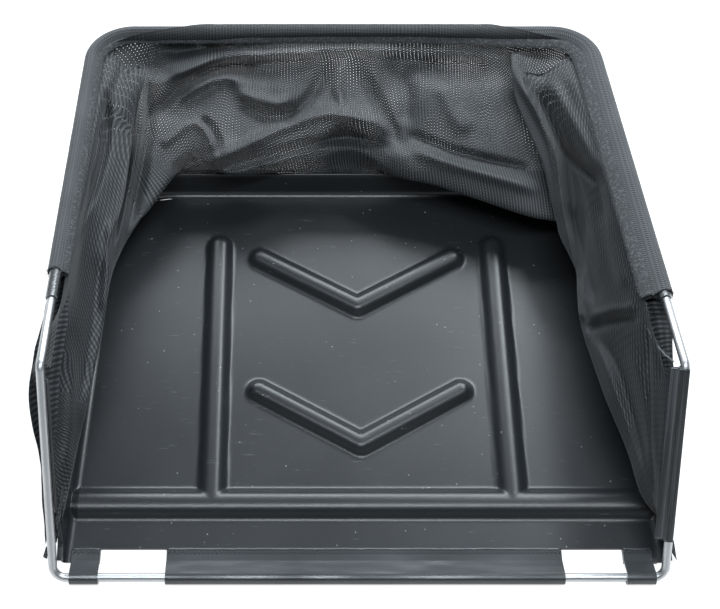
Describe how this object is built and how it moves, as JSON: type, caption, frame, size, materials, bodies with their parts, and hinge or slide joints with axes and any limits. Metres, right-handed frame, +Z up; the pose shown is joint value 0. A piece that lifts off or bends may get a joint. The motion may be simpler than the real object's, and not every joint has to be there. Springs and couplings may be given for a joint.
{
  "type": "grass catcher",
  "caption": "Grass catcher for a reel mower: moulded tray with raised beads, wire and tube frame, and a slack mesh bag with vinyl clips.",
  "frame": {"origin": "underside of the tray at the middle of its floor", "axes": "+X across the tray to the right as seen from the open front, +Y to the rear, +Z up"},
  "size_m": [0.4453, 0.4362, 0.1336],
  "materials": {
    "tray_plastic": "satin moulded polypropylene with a soft gloss",
    "wire": "bright zinc plated wire",
    "tube": "plain drawn steel tube",
    "mesh": "woven polyester mesh",
    "binding": "knitted binding tape",
    "vinyl": "semi gloss soft vinyl"
  },
  "bodies": {
    "root": {"tray": "tray_plastic", "lower_rod": "wire", "upper_tube": "tube", "sleeve": "binding", "front_flap": "vinyl", "left_tab": "vinyl", "right_tab": "vinyl", "right_clip_strip": "vinyl", "left_clip_strip": "vinyl", "left_panel": "mesh", "back_panel": "mesh", "right_panel": "mesh"}
  },
  "joints": []
}
